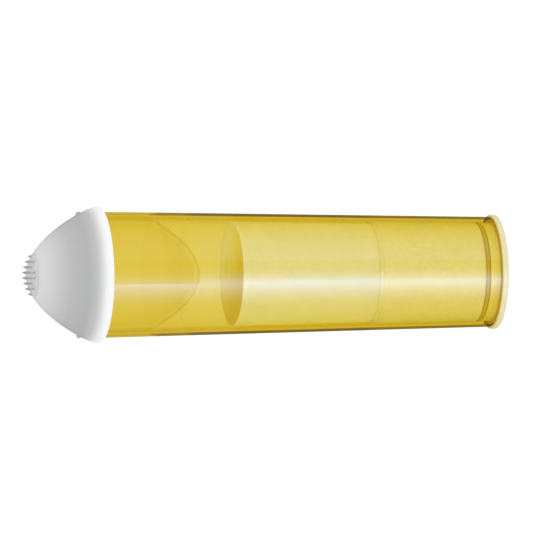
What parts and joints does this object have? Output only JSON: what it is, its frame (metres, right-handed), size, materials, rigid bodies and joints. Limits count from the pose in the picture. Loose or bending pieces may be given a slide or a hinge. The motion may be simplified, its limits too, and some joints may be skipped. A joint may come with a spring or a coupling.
{
  "type": "microcentrifuge tube",
  "caption": "Tapered clear yellow sample tube with a white domed cap, a round-bottomed vial, a filter cartridge and a push-in foot.",
  "frame": {"origin": "centre of the foot's underside, which stands on the bench", "axes": "+Z along the tube's axis from the foot to the domed cap; +X through one of the cap's two nubs"},
  "size_m": [0.0128, 0.0128, 0.0452],
  "materials": {
    "clear_yellow": "clear, polished, tinted yellow",
    "vial_yellow": "clear, polished, deeper yellow",
    "frosted_yellow": "frosted, fine speckle",
    "pale_yellow": "satin, slightly milky",
    "amber_rubber": "smooth",
    "frit_ochre": "sintered, porous",
    "bed_cream": "packed or sintered, speckled",
    "white_plastic": "satin",
    "grey_rubber": "matte"
  },
  "bodies": {
    "base": {"end_plug": "frosted_yellow", "foot_ring": "pale_yellow", "base_seal_ring": "amber_rubber"},
    "tube": {"outer_tube": "clear_yellow", "collection_sleeve": "frosted_yellow"},
    "cartridge": {"cartridge_sleeve": "clear_yellow", "bottom_frit": "bed_cream", "filter_bed": "bed_cream", "top_frit": "frit_ochre", "frit_retainer": "clear_yellow", "vial_seat": "clear_yellow"},
    "vial": {"sample_vial": "vial_yellow"},
    "stopper": {"cap_plug": "white_plastic", "cap_seal_ring": "grey_rubber"},
    "cap": {"cap_shell": "white_plastic", "crown_pad": "grey_rubber"}
  },
  "joints": [
    {"name": "tube_lift", "type": "slide", "parent": "base", "child": "tube", "axis": [0, 0, 1], "range_m": [0, 0.005]},
    {"name": "cartridge_lift", "type": "slide", "parent": "tube", "child": "cartridge", "axis": [0, 0, 1], "range_m": [0, 0.027]},
    {"name": "vial_lift", "type": "slide", "parent": "cartridge", "child": "vial", "axis": [0, 0, 1], "range_m": [0, 0.0105]},
    {"name": "stopper_pull", "type": "slide", "parent": "vial", "child": "stopper", "axis": [0, 0, 1], "range_m": [0, 0.005]},
    {"name": "cap_turn", "type": "hinge", "parent": "stopper", "child": "cap", "pos_m": [0, 0, 0.0404], "axis": [0, 0, 1], "continuous": true}
  ]
}
